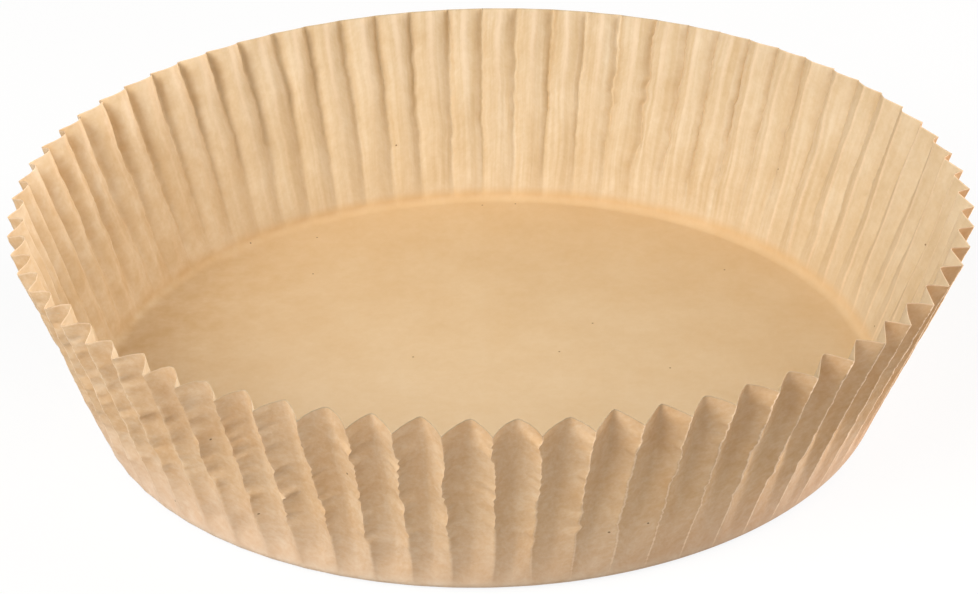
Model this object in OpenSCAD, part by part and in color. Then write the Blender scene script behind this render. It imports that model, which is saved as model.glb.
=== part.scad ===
// Round paper liner for an air fryer basket: one disc of baking paper pressed into a shallow cup.
// It has a flat floor, a small rounded corner and a flared wall of upright pleats.
// Millimetres. It stands on z = 0, centred on the Z axis, and opens upwards.
//
// The disc's edge is longer than the rim that it is pressed into. The pleats take up that spare
// paper, so they start from nothing at the floor and grow deepest at the rim. Their outer folds
// are sharp and lie on the flared cone. Their inner folds are rounded and stand in from it.

/* [Cup] */
// Diameter of the floor, to the crease where the floor and the wall would meet without a corner
floor_d = 167; // [140:1:184]
// Diameter of the rim, over its outer folds
rim_d = 200; // [184:1:240]
// Height of the outer folds at the rim
wall_h = 44; // [25:0.5:70]
// Radius of the corner between the floor and the wall, on the outside
corner_r = 2.5; // [1:0.5:8]

/* [Pleats] */
// Number of pleats round the wall
pleats = 72; // [48:1:88]
// Depth of the pleats, as a share of the depth that would take up all the spare paper
pleat_fullness = 0.95; // [0.4:0.05:1]
// Shape of the inner folds: 0 is a straight V, 1 is a full round arch
inner_fold_roundness = 0.5; // [0:0.1:1]

/* [Paper] */
// Thickness of the paper
paper_t = 0.06; // [0.04:0.01:0.3]

/* [Hidden] */

// A cup has a whole number of pleats
pleat_count = round(pleats);
// Facets across each pleat, an even number so that one edge runs along the inner fold
pleat_facets = 6;
// Bands of facets round the corner, and up the wall
corner_bands = 2;
wall_bands = 3;
// How strongly the bands crowd towards the corner, where the pleats grow fastest
band_crowding = 1.5;
columns = pleat_count * pleat_facets;

// The wall leans out by flare from upright, so the paper turns up by the rest of a right angle
flare = atan((rim_d - floor_d) / 2 / wall_h);
turn = 90 - flare;
wall_len = norm([(rim_d - floor_d) / 2, wall_h]);

// The corner's arc starts and ends this far from the crease
crease_run = corner_r * tan(turn / 2);
corner_len = corner_r * turn * PI / 180;
flat_floor_r = floor_d / 2 - crease_run;

// Rings of points, each at a distance along the paper from the edge of the flat floor
rings = [
    for (b = [0 : corner_bands]) corner_len * b / corner_bands,
    for (b = [1 : wall_bands])
        corner_len + (wall_len - crease_run) * pow(b / wall_bands, band_crowding)
];
ring_count = len(rings);

// Turn of the outer folds at a distance s along the paper, from level at the floor
function turn_at(s) = turn * min(s / corner_len, 1);

// Radius and height of the outer folds there: round the corner, then straight up the cone
function outline_at(s) = let (
        a = turn_at(s),
        up_wall = max(s - corner_len, 0)
    ) [
        flat_floor_r + corner_r * sin(a) + up_wall * sin(flare),
        corner_r * (1 - cos(a)) + up_wall * cos(flare)
    ];

// Depth of the pleats there. A circle of the flat disc is laid on a shorter circle of the cup,
// and straight folds take up the difference when each side of a pleat is the long side of a
// right triangle: half the pitch of the pleats across, and their depth inwards.
function pleat_depth(s) = let (
        r = outline_at(s)[0],
        half_pitch = PI * r / pleat_count,
        spare = (flat_floor_r + s) / r
    ) pleat_fullness * half_pitch * sqrt(max(spare * spare - 1, 0));

// Share of that depth at each column of points: 0 on an outer fold, 1 on an inner fold
function pleat_share(column) = let (
        across = (column % pleat_facets) / pleat_facets,
        inward = 1 - abs(1 - 2 * across)
    ) inner_fold_roundness * sin(90 * inward) + (1 - inner_fold_roundness) * inward;

// A point on the paper's outer face. The pleats stand in square to the outline.
function outer_point(s, column) = let (
        a = turn_at(s),
        depth = pleat_depth(s) * pleat_share(column),
        outline = outline_at(s),
        r = outline[0] - depth * sin(a),
        direction = 360 * column / columns
    ) [r * cos(direction), r * sin(direction), outline[1] + depth * cos(a)];

outer_rings = [for (s = rings) [for (column = [0 : columns - 1]) outer_point(s, column)]];

function unit(v) = v / norm(v);

// A point on the paper's inner face: one thickness in from the two facets that meet at the
// outer point, with the mitre that keeps each of them as thick beside a fold as on the flat.
function inner_point(ring, column) = let (
        here = outer_rings[ring][column],
        before = outer_rings[ring][(column + columns - 1) % columns],
        after = outer_rings[ring][(column + 1) % columns],
        up = outer_rings[min(ring + 1, ring_count - 1)][column] - outer_rings[ring - 1][column],
        n1 = unit(cross(up, here - before)),
        n2 = unit(cross(up, after - here))
    ) here + paper_t * (n1 + n2) / (1 + n1 * n2);

inner_rings = [
    [for (point = outer_rings[0]) point + [0, 0, paper_t]],
    for (ring = [1 : ring_count - 1]) [for (column = [0 : columns - 1]) inner_point(ring, column)]
];

// Two facets between neighbouring columns of two rings, given by the index of each ring's first
// point. Their shared diagonal rises away from each outer fold on the outer face, where the rings
// are listed upwards, and on the inner face, where they are listed downwards. So the two faces
// stay parallel, and both sides of a pleat match.
function facet_pair(ring_a, ring_b, column, upwards) = let (
        next = (column + 1) % columns,
        a = ring_a + column,
        b = ring_b + column,
        a_next = ring_a + next,
        b_next = ring_b + next,
        first_half = column % pleat_facets < pleat_facets / 2
    ) first_half == upwards
        ? [[a, b, b_next], [a, b_next, a_next]]
        : [[a, b, a_next], [b, b_next, a_next]];

// The paper as one closed skin: from the middle of its underside out and up the outer face,
// over the rim, and down the inner face to the middle of the floor.
module liner() {
    inner_down = [for (ring = [ring_count - 1 : -1 : 0]) inner_rings[ring]];
    skin = concat(outer_rings, inner_down);
    underside = len(skin) * columns;
    topside = underside + 1;
    last_ring = (len(skin) - 1) * columns;
    color("burlywood")
    polyhedron(
        points = [for (ring = skin) each ring, [0, 0, 0], [0, 0, paper_t]],
        faces = [
            for (column = [0 : columns - 1]) let (next = (column + 1) % columns)
                [underside, column, next],
            for (ring = [0 : len(skin) - 2], column = [0 : columns - 1])
                each facet_pair(ring * columns, (ring + 1) * columns, column, ring < ring_count),
            for (column = [0 : columns - 1]) let (next = (column + 1) % columns)
                [last_ring + column, topside, last_ring + next]
        ],
        convexity = 10
    );
}

liner();
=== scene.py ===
"""The looks of a pleated paper liner for an air fryer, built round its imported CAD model.

The paper is one closed mesh with an outer and an inner face. Each pleat is folded from the same
sizes as the solid, and then creased a little out of true, as pressed paper is. Metres, +Z up.
"""

import math

import bpy
import numpy as np
from mathutils import Matrix, Vector, noise


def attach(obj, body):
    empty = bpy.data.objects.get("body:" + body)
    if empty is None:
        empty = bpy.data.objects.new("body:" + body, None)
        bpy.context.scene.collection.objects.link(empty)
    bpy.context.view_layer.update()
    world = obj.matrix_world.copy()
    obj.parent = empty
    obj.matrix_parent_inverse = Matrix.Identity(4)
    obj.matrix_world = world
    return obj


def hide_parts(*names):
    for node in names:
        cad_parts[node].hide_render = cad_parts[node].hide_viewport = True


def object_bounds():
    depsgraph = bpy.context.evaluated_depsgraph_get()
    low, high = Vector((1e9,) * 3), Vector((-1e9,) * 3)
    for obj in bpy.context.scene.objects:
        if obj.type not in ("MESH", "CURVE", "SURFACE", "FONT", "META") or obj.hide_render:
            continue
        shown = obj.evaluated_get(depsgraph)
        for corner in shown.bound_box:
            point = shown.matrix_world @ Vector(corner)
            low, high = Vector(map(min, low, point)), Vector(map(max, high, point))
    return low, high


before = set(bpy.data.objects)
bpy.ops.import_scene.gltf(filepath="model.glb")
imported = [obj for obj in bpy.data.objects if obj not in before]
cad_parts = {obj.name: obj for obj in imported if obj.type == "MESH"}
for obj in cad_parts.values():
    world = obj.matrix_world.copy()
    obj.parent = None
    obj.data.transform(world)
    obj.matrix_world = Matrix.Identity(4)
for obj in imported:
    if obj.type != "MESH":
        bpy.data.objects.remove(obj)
cad_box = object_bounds()

MM = 0.001

# The sizes of the cup, as in the solid
PLEATS = 72
RIM_R = cad_box[1].x
FLOOR_R = 83.5 * MM
WALL_H = 44 * MM
CORNER_R = 2.5 * MM
PLEAT_FULLNESS = 0.95
PAPER_T = 0.06 * MM

FLARE = math.atan2(RIM_R - FLOOR_R, WALL_H)
TURN = math.pi / 2 - FLARE
WALL_LEN = math.hypot(RIM_R - FLOOR_R, WALL_H)
CREASE_RUN = CORNER_R * math.tan(TURN / 2)
CORNER_LEN = CORNER_R * TURN
FLAT_FLOOR_R = FLOOR_R - CREASE_RUN
SHEET_R = FLAT_FLOOR_R + CORNER_LEN + WALL_LEN - CREASE_RUN

# Directions round the cup, from its right-hand side
BACK = math.pi / 2
FRONT = -BACK
BACK_LEFT = math.radians(150)
BACK_RIGHT = math.radians(30)
FRONT_LEFT = math.radians(-140)
LEFT = math.radians(175)

# Stretches of the wall: the middle of each, how quickly it fades in, and how narrow it is
RAGGED_STRETCH = (FRONT_LEFT, 1.25, 0)
CRUMPLED_STRETCH = (FRONT_LEFT, 3, 2)
RIGHT_STRETCH = (BACK_RIGHT, 3, 1.8)
LEFT_STRETCH = (LEFT, 4, 2.6)
BACK_STRETCH = (BACK - 0.15, 5, 4)
BUCKLED_STRETCH = (BACK - 0.25, 5, 4)
CREVICE_STRETCH = (BACK_LEFT, 3, 1.4)
# Where the cup has been pulled flatter, so that the pleats open out towards the foot
FLATTER_STRETCH = (math.radians(-32), 4, 2.8)
FLATTER_POWER = 0.75

# Shape of the pleats. The sides bulge from a straight V, at 0, to a scallop, at 1.
SIDE_BULGE = 0.46
SIDE_BULGE_SWING = 0.48
SIDE_BULGE_AT_FRONT = 0.16
BULGE_MIDDLE = math.radians(125)
SCALLOP_POWER = 4.2
# How wide the inner folds are rounded, as a share of half a pleat
FOLD_ROUNDING = 0.11
FOLD_ROUNDING_SWING = 0.05
FOLD_ROUNDING_AT_FRONT = 0.05
# The outer folds are rounded too, in the stretch for crevices, and hardly at all elsewhere
CREVICE_ROUNDING = 0.45
LEAST_CREVICE = 0.015
DEEPER_AT_FRONT = 0.18
SHALLOWER_AT_BACK = 0.26
SHALLOW_MIDDLE = math.radians(72)
# The pleats die away over this much of the foot, at the back, and over more of it at the front
FOOT_RUN = 6 * MM
FOOT_RUN_MORE_AT_FRONT = 5 * MM
FOOT_START = 1.5 * MM
# How far the sides at the back have buckled, halfway between the folds
BUCKLE = 0.20 * MM
# How far up the paper each unevenness starts, and over how much more it grows to full. The dents
# start where the strays of the folds do.
UNEVEN_FROM = 2 * MM
UNEVEN_OVER = 12 * MM
DENTED_OVER = 9 * MM
RAGGED_FROM = 8 * MM
RAGGED_OVER = 12 * MM
CRUMPLED_FROM = 16 * MM
CRUMPLED_OVER = 10 * MM
# The ragged folds are cleaner over this much of the wall below the rim, by this share
CLEANER_RIM = 6 * MM
CLEANER_SHARE = 0.6
# How ragged the outer folds are all round, and how much more in some stretches
LEAST_RAGGED = 0.25
MORE_RAGGED_AT_FRONT_LEFT = 0.75
MORE_RAGGED_AT_RIGHT = 0.25
MORE_RAGGED_AT_BACK = 0.22
# The share of the folds that have each kink
KINK_SHARE = 0.6

# How the pressed cup has sprung out of true, at its rim
OVAL_ALONG_X = -0.0057
OVAL_ALONG_DIAGONAL = -0.0174
RIM_SHIFT_X = 0.92 * MM
RIM_TILT_X = 0.0061
RIM_TILT_Y = 0.0022

# How finely the paper is meshed
FLOOR_ROWS = 3
CORNER_ROWS = 5
WALL_ROWS = 60
# Places across a pleat, from an outer fold at 0 to the next at 1, closer together at the folds
ACROSS = (0.0, 0.05, 0.12, 0.25, 0.42, 0.5, 0.58, 0.75, 0.88, 0.95)
COLUMNS = PLEATS * len(ACROSS)
# How far a mitre at a sharp fold may reach out, as a least divisor
MITRE_LIMIT = 0.35
# Folds sharper than this are shaded as sharp
SHARP_ANGLE = math.radians(82)

SEED = 7
# Noise with another number lies this far away
NOISE_STEP = (17.3, 5.1, 9.7)


def smooth(t):
    """An S-curve from 0 to 1."""
    t = np.clip(t, 0.0, 1.0)
    return t * t * (3 - 2 * t)


def facing(angle, direction):
    """From 0 on the far side of the cup to 1 where it faces the direction."""
    return 0.5 + 0.5 * np.cos(angle - direction)


def within(stretch, angle):
    """From 0 outside a stretch of the wall to 1 in its middle."""
    middle, quickness, narrowness = stretch
    return smooth(quickness * facing(angle, middle) - narrowness)


def outline(s):
    """Radius, height and turn of the outer folds, at distances s along the paper from the floor."""
    turn = TURN * np.minimum(s / CORNER_LEN, 1.0)
    up_wall = np.maximum(s - CORNER_LEN, 0.0)
    radius = FLAT_FLOOR_R + CORNER_R * np.sin(turn) + up_wall * math.sin(FLARE)
    height = CORNER_R * (1 - np.cos(turn)) + up_wall * math.cos(FLARE)
    return radius, height, turn


def pleat_depth(s):
    """Depth that takes up the spare paper, where the disc's circle is longer than the cup's."""
    radius = outline(s)[0]
    spare = (FLAT_FLOOR_R + s) / radius
    return PLEAT_FULLNESS * math.pi * radius / PLEATS * np.sqrt(np.maximum(spare**2 - 1, 0))


def pleat_side(inward, rounding, bulge, crevice):
    """Share of the depth across a side of a pleat: 0 on its outer fold and 1 on its inner fold."""
    softened = np.sqrt(inward**2 + crevice**2) - crevice
    from_inner = 1 - softened / (np.sqrt(1 + crevice**2) - crevice)
    drop = np.sqrt(from_inner**2 + rounding**2) - rounding
    rounded_v = 1 - drop / (np.sqrt(1 + rounding**2) - rounding)
    scallop = 1 - from_inner**SCALLOP_POWER
    return (1 - bulge) * rounded_v + bulge * scallop


def wander(rng, s, spacing, amount):
    """Smooth random offsets along the paper: a row for each fold, and a column for each s."""
    knots = np.arange(-spacing, s[-1] + 2 * spacing, spacing)
    values = rng.normal(0.0, amount, (PLEATS, len(knots)))
    place = (s - knots[0] + rng.uniform(0, spacing)) / spacing
    index = np.minimum(place.astype(int), len(knots) - 2)
    blend = smooth(place - index)
    return values[:, index] * (1 - blend) + values[:, index + 1] * blend


def rough(rng, s, amount):
    """Random offsets that differ from one point of a fold to the next."""
    return rng.normal(0, amount, (PLEATS, len(s)))


def kinks(rng, s, per_fold, length, amount):
    """Sharp kinks in the folds, where the paper buckled: peaks that die away both ways."""
    total = np.zeros((PLEATS, len(s)))
    for _ in range(per_fold):
        place = rng.uniform(0, s[-1], (PLEATS, 1))
        reach = length * rng.uniform(0.5, 1.5, (PLEATS, 1))
        push = rng.normal(0.0, amount, (PLEATS, 1)) * (rng.random((PLEATS, 1)) < KINK_SHARE)
        total += push * np.exp(-np.abs(s[None, :] - place) / reach)
    return total


def noise_at(points, size, number):
    """Soft noise from about -1 to 1 at each point, with features of the given size."""
    shift = Vector([number * step for step in NOISE_STEP])
    flat = (points / size).reshape(-1, 3)
    values = [noise.noise(Vector(p) + shift) for p in flat]
    return np.array(values).reshape(points.shape[:-1])


def raggedness(outer_angle, s):
    """How ragged the outer folds are: most at the front left, less at the rim, not at the foot."""
    ragged = LEAST_RAGGED + MORE_RAGGED_AT_FRONT_LEFT * within(RAGGED_STRETCH, outer_angle)
    ragged = ragged + MORE_RAGGED_AT_RIGHT * within(RIGHT_STRETCH, outer_angle)
    ragged = ragged + MORE_RAGGED_AT_BACK * within(BACK_STRETCH, outer_angle)
    up_foot = smooth((s - RAGGED_FROM) / RAGGED_OVER)
    to_rim = smooth((s - s[-1]) / CLEANER_RIM + 1)
    return ragged * up_foot * (1 - CLEANER_SHARE * to_rim)


def folded_wall(s):
    """Points of the outer face on the corner and wall, a row for each s, and their angles."""
    rng = np.random.default_rng(SEED)
    radius, height, turn = outline(s)
    grown = smooth((s - UNEVEN_FROM) / UNEVEN_OVER)
    pitch = 2 * math.pi / PLEATS
    pleat = np.repeat(np.arange(PLEATS), len(ACROSS))
    across = np.tile(ACROSS, PLEATS)
    angle = (pleat + across) * pitch
    outer_angle = (np.arange(PLEATS) * pitch)[:, None]
    inner_angle = outer_angle + pitch / 2

    # how far each fold strays sideways, and how far each outer fold is set in
    ragged = raggedness(outer_angle, s)
    wavy = 1 + 0.6 * within(RIGHT_STRETCH, outer_angle)
    outer_side = grown * (
        wander(rng, s, spacing=26 * MM, amount=0.26 * MM)
        + wavy * wander(rng, s, spacing=8 * MM, amount=0.13 * MM)
        + ragged * wander(rng, s, spacing=2.6 * MM, amount=0.20 * MM)
        + ragged * rough(rng, s, amount=0.13 * MM)
        + ragged * kinks(rng, s, per_fold=6, length=1.2 * MM, amount=0.42 * MM)
    )
    inner_side = grown * (
        wander(rng, s, spacing=24 * MM, amount=0.32 * MM)
        + wavy * wander(rng, s, spacing=9 * MM, amount=0.15 * MM)
        + ragged * wander(rng, s, spacing=4 * MM, amount=0.14 * MM)
        + kinks(rng, s, per_fold=2, length=3 * MM, amount=0.25 * MM)
    )
    outer_in = grown * np.abs(
        wander(rng, s, spacing=10 * MM, amount=0.05 * MM)
        + ragged * wander(rng, s, spacing=2.4 * MM, amount=0.07 * MM)
        + ragged * rough(rng, s, amount=0.05 * MM)
        + ragged * kinks(rng, s, per_fold=5, length=1.0 * MM, amount=0.22 * MM)
    )

    # how deep each pleat is
    at_front = np.maximum(-np.sin(inner_angle), 0) ** 2
    to_shallow = np.maximum(np.cos(inner_angle - SHALLOW_MIDDLE), 0)
    opening = FLATTER_POWER * within(FLATTER_STRETCH, inner_angle)
    opened = (np.maximum(s, MM) / s[-1]) ** opening
    foot_run = FOOT_RUN + FOOT_RUN_MORE_AT_FRONT * facing(inner_angle, FRONT)
    depth = pleat_depth(s) * smooth((s + FOOT_START) / foot_run) * opened * (
        1
        + DEEPER_AT_FRONT * at_front
        - SHALLOWER_AT_BACK * to_shallow
        + wander(rng, s, spacing=30 * MM, amount=0.06)
        + wander(rng, s, spacing=9 * MM, amount=0.045)
    )

    # how round its folds and sides are
    rounding = FOLD_ROUNDING + FOLD_ROUNDING_SWING * np.cos(inner_angle - BACK_LEFT)
    rounding = rounding + FOLD_ROUNDING_AT_FRONT * at_front
    rounding = rounding * np.exp(wander(rng, s, spacing=20 * MM, amount=0.35))
    bulge = SIDE_BULGE + SIDE_BULGE_SWING * np.cos(inner_angle - BULGE_MIDDLE)
    bulge = bulge + SIDE_BULGE_AT_FRONT * at_front
    bulge = np.clip(bulge + wander(rng, s, spacing=18 * MM, amount=0.10), 0, 1)
    crevice = CREVICE_ROUNDING * within(CREVICE_STRETCH, inner_angle)
    crevice = np.maximum(crevice, LEAST_CREVICE)
    crevice = crevice * np.exp(wander(rng, s, spacing=12 * MM, amount=0.25))
    buckled = BUCKLE * within(BUCKLED_STRETCH, inner_angle) * grown
    buckled = buckled * (1 + wander(rng, s, spacing=14 * MM, amount=0.6))

    inward = 1 - np.abs(1 - 2 * across)
    nearest = np.where(across < 0.5, pleat, (pleat + 1) % PLEATS)
    share = pleat_side(inward[:, None], rounding[pleat], bulge[pleat], crevice[pleat])
    set_in = outer_in[nearest] * (1 - share) + depth[pleat] * share
    set_in = set_in + buckled[pleat] * np.sin(2 * math.pi * inward)[:, None]
    side = outer_side[nearest] * (1 - inward[:, None]) + inner_side[pleat] * inward[:, None]

    around = angle[:, None] + side / radius[None, :]
    r = radius[None, :] - set_in * np.sin(turn)[None, :]
    z = height[None, :] + set_in * np.cos(turn)[None, :]
    points = np.stack([r * np.cos(around), r * np.sin(around), z], -1).transpose(1, 0, 2)
    return points, angle


def spring(points):
    """The points moved as the cup has sprung out of true, which grows from nothing at the floor."""
    x, y, z = points[..., 0], points[..., 1], points[..., 2]
    rise = z / WALL_H
    twice = 2 * np.arctan2(y, x)
    swell = 1 + rise * (OVAL_ALONG_X * np.cos(twice) + OVAL_ALONG_DIAGONAL * np.sin(twice))
    lift = rise * (RIM_TILT_X * x + RIM_TILT_Y * y)
    return np.stack([x * swell + RIM_SHIFT_X * rise, y * swell, z + lift], -1)


def normals_beside(grid):
    """Unit normals into the cup of the facets before and after each point of a closed grid."""
    up = np.gradient(grid, axis=0)
    before = np.cross(up, grid - np.roll(grid, 1, 1))
    after = np.cross(up, np.roll(grid, -1, 1) - grid)
    before /= np.linalg.norm(before, axis=2, keepdims=True)
    after /= np.linalg.norm(after, axis=2, keepdims=True)
    return before, after


def offset(grid, distance):
    """The grid moved into the cup by a distance square to its facets, mitred at the folds."""
    before, after = normals_beside(grid)
    mitre = 1 + np.sum(before * after, axis=2, keepdims=True)
    return grid + distance * (before + after) / np.maximum(mitre, MITRE_LIMIT)


def cockled(grid, sheet, s, angle):
    """The grid with the small dents and soft crumples of pressed paper, most at the left."""
    up = s[:, None]
    crumpled = within(CRUMPLED_STRETCH, angle) * smooth((up - CRUMPLED_FROM) / CRUMPLED_OVER)
    at_right = within(RIGHT_STRETCH, angle)
    at_left = within(LEFT_STRETCH, angle)
    creases = 0.5 - 2 * np.abs(noise_at(sheet, size=4.5 * MM, number=2))
    dents_in_mm = (
        (0.09 + 0.10 * at_right + 0.16 * at_left) * noise_at(sheet, size=9 * MM, number=1)
        + 0.22 * at_left * noise_at(sheet, size=4.5 * MM, number=4)
        + (0.02 + 0.02 * crumpled) * creases
        + (0.045 + 0.06 * at_left) * noise_at(sheet, size=2.2 * MM, number=3)
    )
    grown = smooth((s - UNEVEN_FROM) / DENTED_OVER)[:, None]
    return offset(grid, (dents_in_mm * MM * grown)[..., None])


def ring(radius, angle, z):
    """A level ring of points at the given angles."""
    return np.stack([radius * np.cos(angle), radius * np.sin(angle), np.full(len(angle), z)], -1)


def ridge_distances(s):
    """How far points are, across the paper, from the nearest fold that stands out on their face.

    A row for each s: first on the outer face, and then on the inner face.
    """
    across = np.tile(ACROSS, PLEATS)
    from_outer = np.minimum(across, 1 - across)
    spread = 2 * math.pi * (FLAT_FLOOR_R + s) / PLEATS
    return [from_outer * gap for gap in spread], [(0.5 - from_outer) * gap for gap in spread]


def closed_faces(rings):
    """Faces between rings of points, one after another, and round a middle point at each end."""
    first = np.arange(COLUMNS)
    after = (first + 1) % COLUMNS
    faces = []
    for row in range(rings - 1):
        a, b = row * COLUMNS, (row + 1) * COLUMNS
        faces += np.stack([a + first, a + after, b + after, b + first], -1).tolist()
    middle_under = rings * COLUMNS
    middle_over = middle_under + 1
    last = (rings - 1) * COLUMNS
    faces += [(middle_under, int(j), int(i)) for i, j in zip(first, after)]
    faces += [(middle_over, last + int(i), last + int(j)) for i, j in zip(first, after)]
    return faces


def store(mesh, name, values):
    """Keeps a number or a vector for each point of the mesh, under a name for the material."""
    kind, field = ("FLOAT_VECTOR", "vector") if values.ndim == 2 else ("FLOAT", "value")
    attribute = mesh.attributes.new(name, kind, "POINT")
    attribute.data.foreach_set(field, values.astype(np.float32).ravel())


def make_paper():
    """The paper as one closed mesh: up the outer face, over the cut edge, down the inner face."""
    corner_s = np.linspace(0, CORNER_LEN, CORNER_ROWS + 1)
    rim_s = CORNER_LEN + WALL_LEN - CREASE_RUN
    wall_s = np.linspace(CORNER_LEN, rim_s, WALL_ROWS + 1)[1:]
    s = np.concatenate([corner_s, wall_s])
    wall, angle = folded_wall(s)
    wall_sheet = np.stack([ring(FLAT_FLOOR_R + rho, angle, 0.0) for rho in s])
    wall = spring(cockled(wall, wall_sheet, s, angle))
    inner = offset(wall, PAPER_T)
    inner[0] = wall[0] + (0, 0, PAPER_T)

    floor_r = FLAT_FLOOR_R * np.arange(1, FLOOR_ROWS) / FLOOR_ROWS
    under = [ring(r, angle, 0.0) for r in floor_r]
    over = [ring(r, angle, PAPER_T) for r in floor_r]
    rings = under + list(wall) + list(inner[::-1]) + over[::-1]
    flat = under + list(wall_sheet)
    outer_ridge, inner_ridge = ridge_distances(s)
    far = np.full(COLUMNS, math.pi * FLAT_FLOOR_R / PLEATS)
    plain = [far] * len(under)

    points = np.concatenate(rings + [np.array([[0, 0, 0], [0, 0, PAPER_T]])])
    sheet = np.concatenate(flat + flat[::-1] + [np.zeros((2, 3))])
    ridge = np.concatenate(plain + outer_ridge + inner_ridge[::-1] + plain + [far[:2]])
    half = len(rings) // 2 * COLUMNS
    coated = np.concatenate([np.zeros(half), np.ones(half), [0, 1]])

    mesh = bpy.data.meshes.new("liner_paper")
    mesh.from_pydata(points.tolist(), [], closed_faces(len(rings)))
    store(mesh, "sheet_place", sheet)
    store(mesh, "from_ridge", ridge)
    store(mesh, "coated", coated)
    mesh.polygons.foreach_set("use_smooth", [True] * len(mesh.polygons))
    mesh.set_sharp_from_angle(angle=SHARP_ANGLE)
    paper = bpy.data.objects.new("liner_paper", mesh)
    bpy.context.scene.collection.objects.link(paper)
    return paper


class Nodes:
    """Short calls for making and joining the nodes of one material or world."""

    def __init__(self, tree):
        self.tree = tree

    def link(self, value, socket):
        """Joins an output to an input, or writes a plain value on the input."""
        if isinstance(value, bpy.types.NodeSocket):
            self.tree.links.new(value, socket)
        else:
            socket.default_value = value

    def set(self, node, inputs):
        """Joins outputs to the named inputs of a node, or writes plain values on them."""
        for key, value in inputs.items():
            self.link(value, node.inputs[key])

    def add(self, kind, inputs, **settings):
        node = self.tree.nodes.new(kind)
        for key, value in settings.items():
            setattr(node, key, value)
        self.set(node, inputs)
        return node

    def attribute(self, name, output="Fac"):
        return self.add("ShaderNodeAttribute", {}, attribute_name=name).outputs[output]

    def math(self, operation, a, b=0.0):
        return self.add("ShaderNodeMath", {0: a, 1: b}, operation=operation).outputs[0]

    def plus(self, total, *others):
        for other in others:
            total = self.math("ADD", total, other)
        return total

    def times(self, product, *others):
        for other in others:
            product = self.math("MULTIPLY", product, other)
        return product

    def vector_math(self, operation, a, b=(0, 0, 0), output="Vector"):
        return self.add("ShaderNodeVectorMath", {0: a, 1: b}, operation=operation).outputs[output]

    def dot(self, a, b):
        return self.vector_math("DOT_PRODUCT", a, b, output="Value")

    def noise(self, place, size, detail, shift=0.0, dimensions="2D"):
        """Noise from 0 to 1 with features of a size, at a place on the flat sheet."""
        if shift:
            place = self.vector_math("ADD", place, (shift, 0, 0))
        inputs = {"Vector": place, "Scale": 1 / size, "Detail": detail, "Roughness": 0.6}
        return self.add("ShaderNodeTexNoise", inputs, noise_dimensions=dimensions).outputs["Fac"]

    def ramp(self, value, span, to=(0.0, 1.0)):
        """A straight ramp: one value where the input starts its span, another where it ends it."""
        inputs = {"Value": value, "From Min": span[0], "From Max": span[1]}
        inputs |= {"To Min": to[0], "To Max": to[1]}
        return self.add("ShaderNodeMapRange", inputs).outputs["Result"]

    def mix(self, share, a, b):
        """A colour between two."""
        return self.add("ShaderNodeMix", {0: share, 6: a, 7: b}, data_type="RGBA").outputs[2]


def new_material(name):
    """A new material, with short calls for its nodes and its shader."""
    material = bpy.data.materials.new(name)
    material.use_nodes = True
    n = Nodes(material.node_tree)
    return material, n, n.tree.nodes["Principled BSDF"]


# Colours as linear light. The paper is rough outside and glazed inside, warmer at the left.
PAPER_OUTSIDE = (0.722, 0.516, 0.321, 1)
PAPER_INSIDE = (0.618, 0.474, 0.302, 1)
PAPER_INSIDE_LEFT = (0.685, 0.512, 0.318, 1)
PAPER_FLOOR = (0.662, 0.482, 0.287, 1)
# The foot of the outside, paler and pinker: painted light bounced from the white floor
PAINTED_FLOOR_BOUNCE = (0.83, 0.64, 0.52, 1)
# Dark bits in the paper
SPECK = (0.24, 0.14, 0.07, 1)
# Painted shade on the cut edge at the front and back
PAINTED_EDGE_SHADE = (0.42, 0.36, 0.26, 1)
# Rubbed folds with painted highlights on them, and a painted highlight on the cut edge at the
# sides; and a painted highlight on the inner folds at the back
WORN_AND_HIGHLIT = (1.0, 0.78, 0.57, 1)
PAINTED_RIDGE_HIGHLIGHT = (0.80, 0.66, 0.50, 1)

# Tones. Above 0 they darken the colour and make it richer, and below 0 they fade it.
CLOUD_TONES = (0.09, -0.09)
BLOTCH_TONES = (-0.07, 0.15)
GRAIN_TONES = (-0.06, 0.08)
MOTTLE_TONES = (-0.12, 0.16)
# Painted light and shade on the floor: paler at the front, darker and richer towards the back and
# at its edge
FLOOR_LIGHT_TO_SHADE_TONES = (-0.22, 0.12)
FLOOR_EDGE_SHADE_TONE = 0.07
INSIDE_FOOT_TO_RIM_TONES = (-0.03, -0.08)
INSIDE_LEFT_TONE = 0.02
# Painted shade in the crevices inside, at the back
CREVICE_SHADE_TONE = 0.16
# Painted shade on the outside, at the front right and more at the right
OUTSIDE_FRONT_RIGHT_SHADE_TONE = 0.19
OUTSIDE_RIGHT_SHADE_TONE = 0.39
PRESS_LINE_TONE = 0.18
# How much of the clouds shows on the floor
CLOUDS_ON_FLOOR = 0.55

# Sizes of the features of the paper
CLOUD = 14 * MM
MOTTLE = 5 * MM
BLOTCH = 2.4 * MM
GRAIN = 0.85 * MM
PRESS_LINE = 2.1 * MM
SPECK_SPACING = 8 * MM
# Reach of a speck, as a share of that spacing, and the share of the places that have none
SPECK_REACH = (0.034, 0.018)
NO_SPECK = 0.955
# The values that most of a noise lies between
NOISE_SPAN = (0.3, 0.7)
# How far the grain falls for each step away from a fold, at the front and the back
GRAIN_FALL = 0.47
# How slowly the lines of the pressing change up the wall
PRESS_LINE_DRIFT = 0.06

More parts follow.
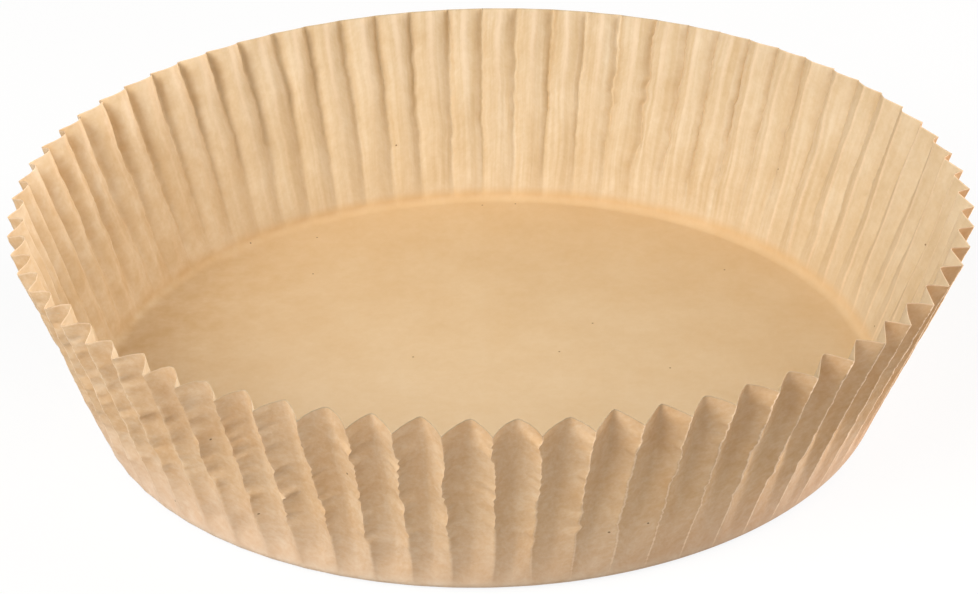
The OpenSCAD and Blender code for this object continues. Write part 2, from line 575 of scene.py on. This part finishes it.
# How far from a fold, or from the cut edge, the rubbing, the painted highlights and the painted
# shade start, and where they are full. The fibres make the rubbing and its highlight uneven.
RUBBED_AND_LIT_OUTSIDE = 0.24 * MM
RUBBED_AND_LIT_INSIDE = 0.75 * MM
RUBBED_AND_LIT_FULLY = 0.06 * MM
RUBBED_AND_LIT_UNEVENLY = (-0.10 * MM, 0.10 * MM)
RIDGE_HIGHLIGHT_FROM_FOLD = (1.5 * MM, 0.3 * MM)
RIDGE_HIGHLIGHT_FROM_CUT = (26 * MM, 6 * MM)
HIGHLIGHT_FROM_CUT = (0.30 * MM, 0.10 * MM)
EDGE_SHADE_FROM_CUT = (0.32 * MM, 0.12 * MM)
# How far from the inner folds the painted shade in the crevices starts and is full
CREVICE_SHADE_FROM_FOLD = (3.4 * MM, 4.8 * MM)

# Heights of the surface's detail, in millimetres, and how strongly they show
GRAIN_HEIGHT = 0.025
BLOTCH_HEIGHT = 0.08
PRESS_LINE_HEIGHT = 0.02
BUMP_STRENGTH = 0.85
# How rough the paper is between its blotches and on them, and how much it shines
ROUGHNESS = (0.62, 0.78)
SHINE = 0.2

# Level directions on the cup
TO_BACK = (0, 1, 0)
TO_RIGHT = (1, 0, 0)
TO_FRONT_RIGHT = (math.cos(math.radians(-25)), math.sin(math.radians(-25)), 0)
TO_PRESSED = (math.cos(math.radians(70)), math.sin(math.radians(70)), 0)
TO_RUBBED_AND_LIT = (0.96, -0.28, 0)

# Bands round the sheet, by their distance from its middle
WALL_BAND = (FLAT_FLOOR_R + 2 * MM, FLAT_FLOOR_R + 7 * MM)
FOOT_BAND = (FLAT_FLOOR_R + 3 * MM, FLAT_FLOOR_R + 5 * MM)
# The foot that the painted floor bounce covers
FLOOR_BOUNCE_BAND = (FLAT_FLOOR_R + 3 * MM, FLAT_FLOOR_R + 22 * MM)
RIM_BAND = (SHEET_R - 30 * MM, SHEET_R)
# The edge of the floor that painted shade darkens
FLOOR_EDGE_SHADE_BAND = (40 * MM, FLAT_FLOOR_R)
MOTTLED_BAND = (45 * MM, 80 * MM)


class Places:
    """Where each point of the paper lies, on the flat sheet and round the cup."""

    def __init__(self, n):
        self.flat = n.attribute("sheet_place", "Vector")
        self.from_ridge = n.attribute("from_ridge")
        self.coated = n.attribute("coated")
        self.from_middle = n.vector_math("LENGTH", self.flat, output="Value")
        self.from_cut = n.math("SUBTRACT", SHEET_R, self.from_middle)
        self.bearing = n.vector_math("NORMALIZE", self.flat)
        self.on_wall = n.ramp(self.from_middle, WALL_BAND)
        self.past_foot = n.ramp(self.from_middle, FOOT_BAND)
        self.to_back = n.dot(self.bearing, TO_BACK)
        self.to_right = n.dot(self.bearing, TO_RIGHT)
        self.to_side = n.math("ABSOLUTE", self.to_right)
        left = n.ramp(self.to_right, (-0.55, -0.95))
        self.at_left = n.times(left, n.ramp(self.from_middle, MOTTLED_BAND))
        # the uncoated outside is rougher than the inside, and the floor is the smoothest
        self.coarse = n.plus(self.by_face(n, 0.75, 0.15), n.times(self.on_wall, 0.25))

    def by_face(self, n, outside, inside):
        """One value on the outside of the paper and another on the inside."""
        return n.ramp(self.coated, (0, 1), to=(outside, inside))


def paper_noises(n, at):
    """The clouds, blotches and grain of the paper, from 0 to 1."""
    # the fibres were laid before the pressing, so the grain falls away from the folds
    fall = n.times(at.to_back, at.to_back, GRAIN_FALL)
    fallen = n.plus(n.math("DIVIDE", n.times(at.from_ridge, fall), at.from_middle), 1.0)
    scaled = n.add("ShaderNodeVectorMath", {0: at.flat, "Scale": fallen}, operation="SCALE")
    laid = scaled.outputs[0]
    cloud = n.noise(at.flat, CLOUD, detail=3)
    blotch = n.noise(laid, BLOTCH, detail=3, shift=0.3)
    grain = n.noise(laid, GRAIN, detail=2, shift=1.1)
    return cloud, blotch, grain


def press_lines(n, at):
    """From -1 to 1 across the fine lines that the pressing leaves, clearest inside the back."""
    round_cup = n.vector_math("MULTIPLY", at.bearing, (SHEET_R, SHEET_R, 0))
    drift = n.add("ShaderNodeCombineXYZ", {2: n.times(at.from_middle, PRESS_LINE_DRIFT)})
    place = n.vector_math("ADD", round_cup, drift.outputs[0])
    line = n.noise(place, PRESS_LINE, detail=2, dimensions="3D")
    clear = n.ramp(n.dot(at.bearing, TO_PRESSED), (0.5, 0.95), to=(0.35, 1.0))
    return n.times(n.ramp(line, (0.25, 0.75), to=(-1, 1)), n.times(clear, at.coated, at.on_wall))


def paper_tone(n, at, cloud, blotch, grain, lines):
    """The power that the colour is raised to, which is 1 with all the tones added."""
    clouds = n.ramp(cloud, NOISE_SPAN, to=CLOUD_TONES)
    clouds = n.times(clouds, n.ramp(at.on_wall, (0, 1), to=(CLOUDS_ON_FLOOR, 1.0)))
    flecks = n.plus(
        n.ramp(blotch, NOISE_SPAN, to=BLOTCH_TONES), n.ramp(grain, NOISE_SPAN, to=GRAIN_TONES)
    )
    flecks = n.times(flecks, at.coarse)

    # the floor has painted light at the front and painted shade, darker and richer, towards the
    # back and at its edge by the wall; the wall is paler inside at the rim
    to_floor_back = n.dot(at.flat, (0.15 / FLAT_FLOOR_R, 1 / FLAT_FLOOR_R, 0))
    floor = n.ramp(to_floor_back, (-1, 1), to=FLOOR_LIGHT_TO_SHADE_TONES)
    floor = n.plus(floor, n.ramp(at.from_middle, FLOOR_EDGE_SHADE_BAND, to=(0.0, FLOOR_EDGE_SHADE_TONE)))
    wall = n.times(at.coated, n.ramp(at.from_middle, RIM_BAND, to=INSIDE_FOOT_TO_RIM_TONES))
    shade = n.add("ShaderNodeMix", {0: at.past_foot, 2: floor, 3: wall}).outputs[0]

    # inside, painted shade makes the crevices darker and richer at the back, and the left is
    # mottled
    crevice_shade = n.ramp(at.from_ridge, CREVICE_SHADE_FROM_FOLD)
    crevice_shade = n.times(crevice_shade, n.ramp(at.to_back, (0.2, 0.8)), n.ramp(at.to_right, (0.6, -0.3)))
    crevice_shade = n.times(crevice_shade, at.coated, CREVICE_SHADE_TONE)
    left = n.times(at.at_left, at.by_face(n, 0, INSIDE_LEFT_TONE))
    mottle = n.noise(at.flat, MOTTLE, detail=3, shift=2.7)
    mottle = n.times(n.ramp(mottle, NOISE_SPAN, to=MOTTLE_TONES), at.at_left)

    # outside, painted shade makes the front right and the right darker and browner
    front_right_shade = n.ramp(n.dot(at.bearing, TO_FRONT_RIGHT), (0.3, 1.0))
    front_right_shade = n.times(front_right_shade, at.by_face(n, OUTSIDE_FRONT_RIGHT_SHADE_TONE, 0))
    # painted shade on the outside at the right
    right = n.ramp(at.to_right, (0.8, 1.0))
    right = n.times(right, at.by_face(n, OUTSIDE_RIGHT_SHADE_TONE, 0))

    lines = n.times(lines, PRESS_LINE_TONE)
    return n.plus(1.0, clouds, flecks, shade, crevice_shade, front_right_shade, right, left, mottle, lines)


def specks(n, at):
    """1 on the few specks in the paper, and 0 beside them."""
    cells = n.add(
        "ShaderNodeTexVoronoi",
        {"Vector": at.flat, "Scale": 1 / SPECK_SPACING},
        feature="F1",
        voronoi_dimensions="2D",
    )
    near = n.ramp(cells.outputs["Distance"], SPECK_REACH)
    random = n.add("ShaderNodeSeparateColor", {"Color": cells.outputs["Color"]}).outputs["Red"]
    return n.times(near, n.math("GREATER_THAN", random, NO_SPECK))


def worn_and_highlit(n, at, colour, grain):
    """The colour with painted highlights on the rubbed folds, most at the right, and on the inner
    folds at the back, and painted light and shade on the cut edge.
    """
    ragged_ridge = n.plus(at.from_ridge, n.ramp(grain, NOISE_SPAN, to=RUBBED_AND_LIT_UNEVENLY))
    rubbed_and_lit_width = at.by_face(n, RUBBED_AND_LIT_OUTSIDE, RUBBED_AND_LIT_INSIDE)
    # the folds rubbed, with a painted highlight where light catches them, most at the right
    fold = n.ramp(ragged_ridge, (rubbed_and_lit_width, RUBBED_AND_LIT_FULLY))
    to_rubbed = n.dot(at.bearing, TO_RUBBED_AND_LIT)
    right = n.ramp(to_rubbed, (0.30, 0.80), to=(0.10, 1.0))
    left = n.times(n.ramp(to_rubbed, (-0.35, -0.75), to=(0.0, 0.75)), at.by_face(n, 1.0, 0.3))
    wear_and_highlight = n.times(n.math("MAXIMUM", right, left), at.by_face(n, 1.0, 0.28))
    colour = n.mix(n.times(fold, wear_and_highlight, at.on_wall), colour, WORN_AND_HIGHLIT)

    # a painted highlight along the inner folds at the back, towards the rim
    ridge_highlight = n.ramp(ragged_ridge, RIDGE_HIGHLIGHT_FROM_FOLD)
    ridge_highlight = n.times(ridge_highlight, n.ramp(at.from_cut, RIDGE_HIGHLIGHT_FROM_CUT), at.coated)
    ridge_highlight = n.times(ridge_highlight, n.ramp(at.to_back, (0.55, 0.95), to=(0.0, 0.45)))
    colour = n.mix(ridge_highlight, colour, PAINTED_RIDGE_HIGHLIGHT)

    # a painted highlight on the cut edge at the sides
    cut_highlight = n.ramp(at.from_cut, HIGHLIGHT_FROM_CUT)
    cut_highlight = n.times(cut_highlight, n.ramp(at.to_side, (0.35, 0.8), to=(0, 0.4)))
    colour = n.mix(cut_highlight, colour, WORN_AND_HIGHLIT)
    # painted shade on the cut edge at the front and back
    shaded_cut = n.ramp(at.from_cut, EDGE_SHADE_FROM_CUT)
    shaded_cut = n.times(shaded_cut, n.ramp(at.to_side, (0.7, 0.3), to=(0, 0.5)))
    return n.mix(shaded_cut, colour, PAINTED_EDGE_SHADE)


def paper_material():
    """Unbleached greaseproof paper: cloudy, fibrous, pressed and rubbed at the folds, with painted
    light and shade on it.
    """
    material, n, shader = new_material("baking_paper")
    at = Places(n)
    cloud, blotch, grain = paper_noises(n, at)
    lines = press_lines(n, at)

    # painted light bounced from the white floor onto the outside foot, more at the sides
    floor_bounce = n.ramp(at.from_middle, FLOOR_BOUNCE_BAND, to=(1.0, 0.0))
    floor_bounce = n.times(floor_bounce, n.ramp(at.to_side, (0.25, 0.8), to=(0.25, 0.5)))
    outside = n.mix(floor_bounce, PAPER_OUTSIDE, PAINTED_FLOOR_BOUNCE)
    inside = n.mix(at.at_left, PAPER_INSIDE, PAPER_INSIDE_LEFT)
    base = n.mix(at.coated, outside, n.mix(at.past_foot, PAPER_FLOOR, inside))
    tone = paper_tone(n, at, cloud, blotch, grain, lines)
    colour = n.add("ShaderNodeGamma", {"Color": base, "Gamma": tone}).outputs["Color"]
    colour = n.mix(specks(n, at), colour, SPECK)
    colour = worn_and_highlit(n, at, colour, grain)

    height = n.plus(n.times(grain, GRAIN_HEIGHT), n.times(blotch, BLOTCH_HEIGHT))
    height = n.plus(n.times(height, at.coarse), n.times(lines, PRESS_LINE_HEIGHT))
    bump = n.add("ShaderNodeBump", {"Height": height, "Distance": MM, "Strength": BUMP_STRENGTH})
    n.set(shader, {
        "Base Color": colour,
        "Roughness": n.ramp(blotch, NOISE_SPAN, to=ROUGHNESS),
        "Normal": bump.outputs["Normal"],
    })
    shader.inputs["Specular IOR Level"].default_value = SHINE
    return material


# The camera, from a fit to the photograph's rim, inner folds, floor and foot
CAMERA_TARGET = Vector((0.82 * MM, 0, 17.45 * MM))
CAMERA_DISTANCE = 0.509
CAMERA_ELEVATION = math.radians(28.13)
CAMERA_ROLL = math.radians(-1.4)
LENS_MM = 87.55
SENSOR_MM = 36


def make_camera():
    back = Vector((0, -math.cos(CAMERA_ELEVATION), math.sin(CAMERA_ELEVATION)))
    data = bpy.data.cameras.new("camera")
    data.sensor_width = SENSOR_MM
    data.lens = LENS_MM
    camera = bpy.data.objects.new("camera", data)
    bpy.context.scene.collection.objects.link(camera)
    turn = (-back).to_track_quat("-Z", "Y").to_matrix().to_4x4()
    level = Matrix.Translation(CAMERA_TARGET + back * CAMERA_DISTANCE) @ turn
    camera.matrix_world = level @ Matrix.Rotation(CAMERA_ROLL, 4, "Z")
    bpy.context.scene.camera = camera


LIGHT_DISTANCE = 1.4
SOFT = 0.9
SMALL = 0.2
# Name, degrees round from the front towards the right, degrees up, watts, width and colour
LIGHTS = (
    ("key", -47, 40, 22.2, SOFT, (1.0, 0.98, 0.94)),
    ("fill", 20, 40, 5.7, SOFT, (1.0, 0.98, 0.96)),
    ("right", 84, 38, 6.9, SOFT, (1.0, 0.94, 0.87)),
    ("behind", 110, 14, 11.2, SOFT, (1.0, 0.91, 0.84)),
    ("low", 112, 5, 10.5, SMALL, (1.0, 0.96, 0.98)),
)


def make_light(name, azimuth, elevation, watts, width, color):
    """A square light that faces the cup."""
    data = bpy.data.lights.new(name, "AREA")
    data.energy = watts
    data.color = color
    data.size = width
    light = bpy.data.objects.new(name, data)
    bpy.context.scene.collection.objects.link(light)
    around, up = math.radians(azimuth), math.radians(elevation)
    flat = math.cos(up)
    out = Vector((flat * math.sin(around), -flat * math.cos(around), math.sin(up)))
    light.location = LIGHT_DISTANCE * out
    light.rotation_mode = "QUATERNION"
    light.rotation_quaternion = (-out).to_track_quat("-Z", "Y")


FLOOR_SIZE = 12
# The floor lies just under the paper, so that their faces don't meet
FLOOR_GAP = 0.2 * MM
FLOOR_GREY = 0.42
FLOOR_SHADED_WHITE = 0.9
# Share of plain white in the picture of the floor, where its shadows take the rest
FLOOR_WHITE = 0.88


def seen_directly(n):
    """1 for rays from the camera, and for those that a gloss or glass sends on."""
    path = n.add("ShaderNodeLightPath", {})
    shiny = n.math("MAXIMUM", path.outputs["Is Glossy Ray"], path.outputs["Is Transmission Ray"])
    return n.math("MAXIMUM", path.outputs["Is Camera Ray"], shiny)


def make_floor():
    """A grey floor that looks white, and keeps the cup's shadow."""
    bpy.ops.mesh.primitive_plane_add(size=FLOOR_SIZE, location=(0, 0, -FLOOR_GAP))
    floor = bpy.context.object
    floor.name = "floor"
    material, n, shader = new_material("floor")
    shader.inputs["Base Color"].default_value = (FLOOR_GREY, FLOOR_GREY, FLOOR_GREY, 1)
    shader.inputs["Roughness"].default_value = 1.0
    shader.inputs["Specular IOR Level"].default_value = 0.0
    white = n.add("ShaderNodeEmission", {"Strength": 1.0}).outputs[0]
    shaded_white = (FLOOR_SHADED_WHITE, FLOOR_SHADED_WHITE, FLOOR_SHADED_WHITE, 1)
    lit = n.add("ShaderNodeBsdfDiffuse", {"Color": shaded_white}).outputs[0]
    pale = n.add("ShaderNodeMixShader", {0: FLOOR_WHITE, 1: lit, 2: white}).outputs[0]
    grey = shader.outputs[0]
    both = n.add("ShaderNodeMixShader", {0: seen_directly(n), 1: grey, 2: pale}).outputs[0]
    n.link(both, n.tree.nodes["Material Output"].inputs["Surface"])
    floor.data.materials.append(material)


WORLD_COLOUR = (1.0, 0.95, 0.9, 1)
WORLD_STRENGTH = 0.03


def make_world():
    """A faint even light, and plain white behind the floor's edge."""
    world = bpy.data.worlds.new("world")
    world.use_nodes = True
    n = Nodes(world.node_tree)
    soft = n.tree.nodes["Background"]
    soft.inputs["Color"].default_value = WORLD_COLOUR
    soft.inputs["Strength"].default_value = WORLD_STRENGTH
    white = n.add("ShaderNodeBackground", {"Color": (1, 1, 1, 1)}).outputs[0]
    inputs = {0: seen_directly(n), 1: soft.outputs[0], 2: white}
    both = n.add("ShaderNodeMixShader", inputs).outputs[0]
    n.link(both, n.tree.nodes["World Output"].inputs["Surface"])
    bpy.context.scene.world = world


paper = make_paper()
paper.data.materials.append(paper_material())
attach(paper, "root")
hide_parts("liner")

make_floor()
make_camera()
for light in LIGHTS:
    make_light(*light)
make_world()
bpy.context.scene.view_settings.view_transform = "Standard"
